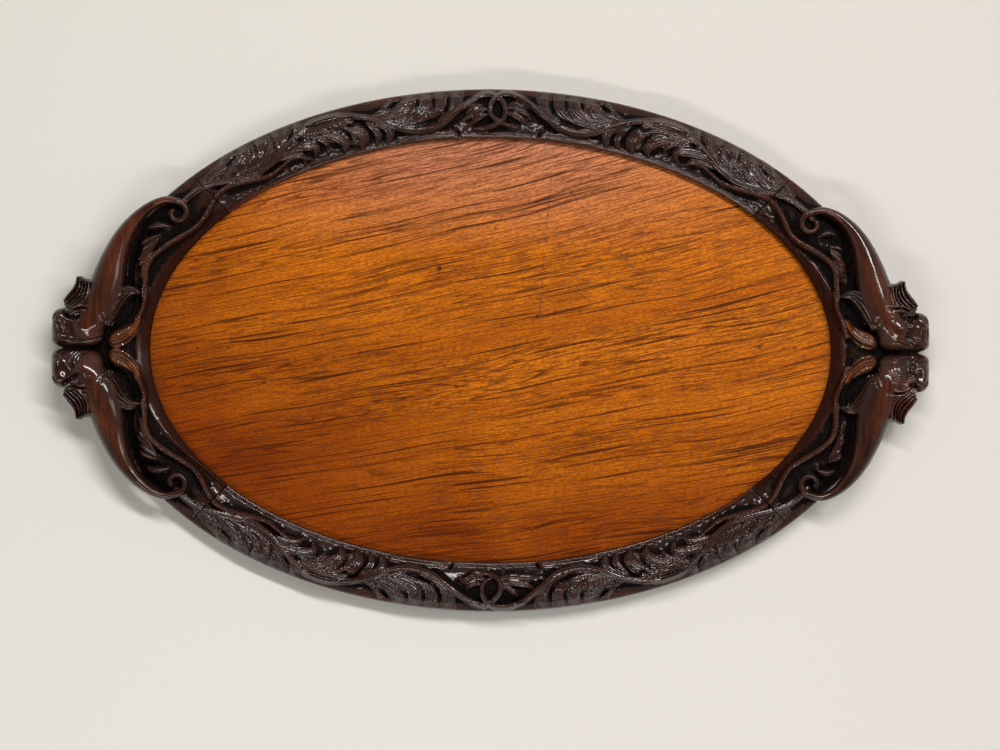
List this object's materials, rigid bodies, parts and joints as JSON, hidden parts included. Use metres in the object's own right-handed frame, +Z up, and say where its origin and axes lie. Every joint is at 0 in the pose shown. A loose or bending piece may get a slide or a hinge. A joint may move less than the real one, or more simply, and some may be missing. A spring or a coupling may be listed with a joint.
{
  "type": "carved wooden tray",
  "caption": "Oval serving tray: a flat hardwood board framed by a dark rim carved with leaf scrolls, horned beast heads and brass-eyed snakes at the ends.",
  "frame": {"origin": "middle of the underside, where the tray rests on a table", "axes": "+X along the tray's length, +Y across it, +Z up out of the well"},
  "size_m": [0.719, 0.4314, 0.0375],
  "materials": {
    "board_wood": "waxed open-grained orange-brown hardwood",
    "rim_wood": "polished dark red-brown hardwood, black in the recesses",
    "eye_brass": "worn pale brass",
    "screw_steel": "dull old steel"
  },
  "bodies": {
    "root": {"base_board": "board_wood", "rim_back": "rim_wood", "rim_front": "rim_wood", "rim_right": "rim_wood", "rim_left": "rim_wood", "snake_eye_back_left_1": "eye_brass", "snake_eye_back_left_2": "eye_brass", "snake_eye_back_right_1": "eye_brass", "snake_eye_back_right_2": "eye_brass", "snake_eye_front_left_1": "eye_brass", "snake_eye_front_left_2": "eye_brass", "snake_eye_front_right_1": "eye_brass", "snake_eye_front_right_2": "eye_brass", "screw_back_1": "screw_steel", "screw_back_2": "screw_steel", "screw_back_3": "screw_steel", "screw_front_1": "screw_steel", "screw_front_2": "screw_steel", "screw_front_3": "screw_steel", "screw_right_1": "screw_steel", "screw_right_2": "screw_steel", "screw_right_3": "screw_steel", "screw_left_1": "screw_steel", "screw_left_2": "screw_steel", "screw_left_3": "screw_steel"}
  },
  "joints": []
}
